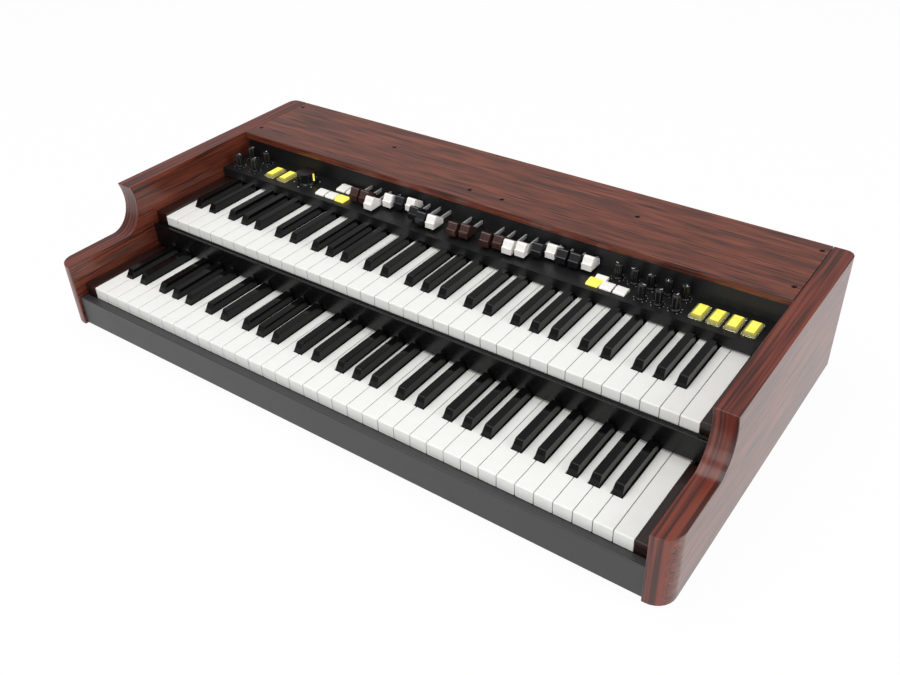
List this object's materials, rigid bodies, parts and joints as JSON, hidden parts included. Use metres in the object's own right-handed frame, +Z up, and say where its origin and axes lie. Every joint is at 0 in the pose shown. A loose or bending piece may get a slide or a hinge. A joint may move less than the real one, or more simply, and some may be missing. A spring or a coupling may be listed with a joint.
{
  "type": "electronic organ",
  "caption": "Compact two-manual drawbar organ with waterfall keys, wooden cheeks and wooden top, sliding drawbars, lit buttons and rotary controls on a black panel.",
  "frame": {"origin": "on the floor under the middle of the case", "axes": "+X along the keyboards to the player's right, +Y to the back, +Z up"},
  "size_m": [0.944, 0.5, 0.1716],
  "materials": {
    "stained_wood": "satin open-grain stain",
    "black_paint": "satin",
    "gloss_black_panel": "gloss",
    "satin_black_panel": "satin",
    "ivory_plastic": "gloss",
    "ebony_plastic": "gloss",
    "dark_block": "satin stain",
    "drawbar_brown": "gloss",
    "drawbar_white": "gloss",
    "drawbar_black": "gloss",
    "knob_plastic": "satin",
    "lit_yellow": "lit from below",
    "board_green": "solder mask",
    "black_moulding": "fine texture",
    "foot_rubber": "matt"
  },
  "bodies": {
    "case": {"cheek_left": "stained_wood", "cheek_right": "stained_wood", "base_pan": "black_paint", "front_rail": "black_paint", "middle_rail": "gloss_black_panel", "wood_top": "stained_wood", "keybed_lower": "ivory_plastic", "keybed_upper": "ivory_plastic", "end_block_lower_left": "dark_block", "end_block_lower_right": "dark_block", "end_block_upper_left": "dark_block", "end_block_upper_right": "dark_block", "control_panel": "satin_black_panel", "rear_panel": "black_paint", "main_board": "board_green", "mains_inlet": "black_moulding", "foot_front_left": "foot_rubber", "foot_front_right": "foot_rubber", "foot_rear_left": "foot_rubber", "foot_rear_right": "foot_rubber"},
    "drawbar_upper_1": {"drawbar_upper_1": "drawbar_brown"},
    "drawbar_upper_2": {"drawbar_upper_2": "drawbar_brown"},
    "drawbar_upper_3": {"drawbar_upper_3": "drawbar_white"},
    "drawbar_upper_4": {"drawbar_upper_4": "drawbar_white"},
    "drawbar_upper_5": {"drawbar_upper_5": "drawbar_black"},
    "drawbar_upper_6": {"drawbar_upper_6": "drawbar_white"},
    "drawbar_upper_7": {"drawbar_upper_7": "drawbar_black"},
    "drawbar_upper_8": {"drawbar_upper_8": "drawbar_black"},
    "drawbar_upper_9": {"drawbar_upper_9": "drawbar_white"},
    "drawbar_pedal_1": {"drawbar_pedal_1": "drawbar_brown"},
    "drawbar_pedal_2": {"drawbar_pedal_2": "drawbar_brown"},
    "drawbar_lower_1": {"drawbar_lower_1": "drawbar_brown"},
    "drawbar_lower_2": {"drawbar_lower_2": "drawbar_brown"},
    "drawbar_lower_3": {"drawbar_lower_3": "drawbar_white"},
    "drawbar_lower_4": {"drawbar_lower_4": "drawbar_white"},
    "drawbar_lower_5": {"drawbar_lower_5": "drawbar_black"},
    "drawbar_lower_6": {"drawbar_lower_6": "drawbar_white"},
    "drawbar_lower_7": {"drawbar_lower_7": "drawbar_black"},
    "drawbar_lower_8": {"drawbar_lower_8": "drawbar_black"},
    "drawbar_lower_9": {"drawbar_lower_9": "drawbar_white"},
    "lit_button_left_1": {"lit_button_left_1": "lit_yellow"},
    "lit_button_left_2": {"lit_button_left_2": "lit_yellow"},
    "lit_button_right_1": {"lit_button_right_1": "lit_yellow"},
    "lit_button_right_2": {"lit_button_right_2": "lit_yellow"},
    "lit_button_right_3": {"lit_button_right_3": "lit_yellow"},
    "lit_button_right_4": {"lit_button_right_4": "lit_yellow"},
    "selector_knob": {"selector_knob": "knob_plastic"},
    "key_c": {"key_c": "ivory_plastic"},
    "key_cs": {"key_cs": "ebony_plastic"},
    "key_d": {"key_d": "ivory_plastic"},
    "key_ds": {"key_ds": "ebony_plastic"},
    "key_e": {"key_e": "ivory_plastic"},
    "key_f": {"key_f": "ivory_plastic"},
    "key_fs": {"key_fs": "ebony_plastic"},
    "key_g": {"key_g": "ivory_plastic"},
    "key_gs": {"key_gs": "ebony_plastic"},
    "key_a": {"key_a": "ivory_plastic"},
    "key_as": {"key_as": "ebony_plastic"},
    "key_b": {"key_b": "ivory_plastic"},
    "power_switch": {"power_switch": "black_moulding"}
  },
  "joints": [
    {"name": "drawbar_upper_1_slide", "type": "slide", "parent": "case", "child": "drawbar_upper_1", "axis": [0, -1, 0], "range_m": [-0.0175, 0.0105]},
    {"name": "drawbar_upper_2_slide", "type": "slide", "parent": "case", "child": "drawbar_upper_2", "axis": [0, -1, 0], "range_m": [-0.0175, 0.0105]},
    {"name": "drawbar_upper_3_slide", "type": "slide", "parent": "case", "child": "drawbar_upper_3", "axis": [0, -1, 0], "range_m": [-0.028, 0]},
    {"name": "drawbar_upper_4_slide", "type": "slide", "parent": "case", "child": "drawbar_upper_4", "axis": [0, -1, 0], "range_m": [-0.007, 0.021]},
    {"name": "drawbar_upper_5_slide", "type": "slide", "parent": "case", "child": "drawbar_upper_5", "axis": [0, -1, 0], "range_m": [-0.0035, 0.0245]},
    {"name": "drawbar_upper_6_slide", "type": "slide", "parent": "case", "child": "drawbar_upper_6", "axis": [0, -1, 0], "range_m": [0, 0.028]},
    {"name": "drawbar_upper_7_slide", "type": "slide", "parent": "case", "child": "drawbar_upper_7", "axis": [0, -1, 0], "range_m": [-0.0175, 0.0105]},
    {"name": "drawbar_upper_8_slide", "type": "slide", "parent": "case", "child": "drawbar_upper_8", "axis": [0, -1, 0], "range_m": [-0.0245, 0.0035]},
    {"name": "drawbar_upper_9_slide", "type": "slide", "parent": "case", "child": "drawbar_upper_9", "axis": [0, -1, 0], "range_m": [-0.0245, 0.0035]},
    {"name": "drawbar_pedal_1_slide", "type": "slide", "parent": "case", "child": "drawbar_pedal_1", "axis": [0, -1, 0], "range_m": [-0.0245, 0.0035]},
    {"name": "drawbar_pedal_2_slide", "type": "slide", "parent": "case", "child": "drawbar_pedal_2", "axis": [0, -1, 0], "range_m": [-0.021, 0.007]},
    {"name": "drawbar_lower_1_slide", "type": "slide", "parent": "case", "child": "drawbar_lower_1", "axis": [0, -1, 0], "range_m": [-0.0245, 0.0035]},
    {"name": "drawbar_lower_2_slide", "type": "slide", "parent": "case", "child": "drawbar_lower_2", "axis": [0, -1, 0], "range_m": [-0.021, 0.007]},
    {"name": "drawbar_lower_3_slide", "type": "slide", "parent": "case", "child": "drawbar_lower_3", "axis": [0, -1, 0], "range_m": [-0.0245, 0.0035]},
    {"name": "drawbar_lower_4_slide", "type": "slide", "parent": "case", "child": "drawbar_lower_4", "axis": [0, -1, 0], "range_m": [-0.021, 0.007]},
    {"name": "drawbar_lower_5_slide", "type": "slide", "parent": "case", "child": "drawbar_lower_5", "axis": [0, -1, 0], "range_m": [-0.0105, 0.0175]},
    {"name": "drawbar_lower_6_slide", "type": "slide", "parent": "case", "child": "drawbar_lower_6", "axis": [0, -1, 0], "range_m": [-0.0035, 0.0245]},
    {"name": "drawbar_lower_7_slide", "type": "slide", "parent": "case", "child": "drawbar_lower_7", "axis": [0, -1, 0], "range_m": [-0.007, 0.021]},
    {"name": "drawbar_lower_8_slide", "type": "slide", "parent": "case", "child": "drawbar_lower_8", "axis": [0, -1, 0], "range_m": [-0.007, 0.021]},
    {"name": "drawbar_lower_9_slide", "type": "slide", "parent": "case", "child": "drawbar_lower_9", "axis": [0, -1, 0], "range_m": [-0.0035, 0.0245]},
    {"name": "lit_button_left_1_press", "type": "slide", "parent": "case", "child": "lit_button_left_1", "axis": [0, 0, -1], "range_m": [0, 0.002], "stiffness_N_per_m": 400, "springref_m": -0.0025},
    {"name": "lit_button_left_2_press", "type": "slide", "parent": "case", "child": "lit_button_left_2", "axis": [0, 0, -1], "range_m": [0, 0.002], "stiffness_N_per_m": 400, "springref_m": -0.0025},
    {"name": "lit_button_right_1_press", "type": "slide", "parent": "case", "child": "lit_button_right_1", "axis": [0, 0, -1], "range_m": [0, 0.002], "stiffness_N_per_m": 400, "springref_m": -0.0025},
    {"name": "lit_button_right_2_press", "type": "slide", "parent": "case", "child": "lit_button_right_2", "axis": [0, 0, -1], "range_m": [0, 0.002], "stiffness_N_per_m": 400, "springref_m": -0.0025},
    {"name": "lit_button_right_3_press", "type": "slide", "parent": "case", "child": "lit_button_right_3", "axis": [0, 0, -1], "range_m": [0, 0.002], "stiffness_N_per_m": 400, "springref_m": -0.0025},
    {"name": "lit_button_right_4_press", "type": "slide", "parent": "case", "child": "lit_button_right_4", "axis": [0, 0, -1], "range_m": [0, 0.002], "stiffness_N_per_m": 400, "springref_m": -0.0025},
    {"name": "selector_turn", "type": "hinge", "parent": "case", "child": "selector_knob", "pos_m": [-0.2943, 0.0828, 0.1337], "axis": [0, 0, 1], "range_deg": [-30, 270]},
    {"name": "key_c_press", "type": "hinge", "parent": "case", "child": "key_c", "pos_m": [0, -0.0204, 0.0575], "axis": [1, 0, 0], "range_deg": [0, 2.7], "stiffness_Nm_per_rad": 0.75, "springref_deg": -12.61},
    {"name": "key_cs_press", "type": "hinge", "parent": "case", "child": "key_cs", "pos_m": [0, -0.0204, 0.0575], "axis": [1, 0, 0], "range_deg": [0, 2.7], "stiffness_Nm_per_rad": 0.75, "springref_deg": -12.61},
    {"name": "key_d_press", "type": "hinge", "parent": "case", "child": "key_d", "pos_m": [0, -0.0204, 0.0575], "axis": [1, 0, 0], "range_deg": [0, 2.7], "stiffness_Nm_per_rad": 0.75, "springref_deg": -12.61},
    {"name": "key_ds_press", "type": "hinge", "parent": "case", "child": "key_ds", "pos_m": [0, -0.0204, 0.0575], "axis": [1, 0, 0], "range_deg": [0, 2.7], "stiffness_Nm_per_rad": 0.75, "springref_deg": -12.61},
    {"name": "key_e_press", "type": "hinge", "parent": "case", "child": "key_e", "pos_m": [0, -0.0204, 0.0575], "axis": [1, 0, 0], "range_deg": [0, 2.7], "stiffness_Nm_per_rad": 0.75, "springref_deg": -12.61},
    {"name": "key_f_press", "type": "hinge", "parent": "case", "child": "key_f", "pos_m": [0, -0.0204, 0.0575], "axis": [1, 0, 0], "range_deg": [0, 2.7], "stiffness_Nm_per_rad": 0.75, "springref_deg": -12.61},
    {"name": "key_fs_press", "type": "hinge", "parent": "case", "child": "key_fs", "pos_m": [0, -0.0204, 0.0575], "axis": [1, 0, 0], "range_deg": [0, 2.7], "stiffness_Nm_per_rad": 0.75, "springref_deg": -12.61},
    {"name": "key_g_press", "type": "hinge", "parent": "case", "child": "key_g", "pos_m": [0, -0.0204, 0.0575], "axis": [1, 0, 0], "range_deg": [0, 2.7], "stiffness_Nm_per_rad": 0.75, "springref_deg": -12.61},
    {"name": "key_gs_press", "type": "hinge", "parent": "case", "child": "key_gs", "pos_m": [0, -0.0204, 0.0575], "axis": [1, 0, 0], "range_deg": [0, 2.7], "stiffness_Nm_per_rad": 0.75, "springref_deg": -12.61},
    {"name": "key_a_press", "type": "hinge", "parent": "case", "child": "key_a", "pos_m": [0, -0.0204, 0.0575], "axis": [1, 0, 0], "range_deg": [0, 2.7], "stiffness_Nm_per_rad": 0.75, "springref_deg": -12.61},
    {"name": "key_as_press", "type": "hinge", "parent": "case", "child": "key_as", "pos_m": [0, -0.0204, 0.0575], "axis": [1, 0, 0], "range_deg": [0, 2.7], "stiffness_Nm_per_rad": 0.75, "springref_deg": -12.61},
    {"name": "key_b_press", "type": "hinge", "parent": "case", "child": "key_b", "pos_m": [0, -0.0204, 0.0575], "axis": [1, 0, 0], "range_deg": [0, 2.7], "stiffness_Nm_per_rad": 0.75, "springref_deg": -12.61},
    {"name": "power_rock", "type": "hinge", "parent": "case", "child": "power_switch", "pos_m": [-0.3355, 0.2445, 0.0625], "axis": [-1, 0, 0], "range_deg": [0, 14]}
  ]
}
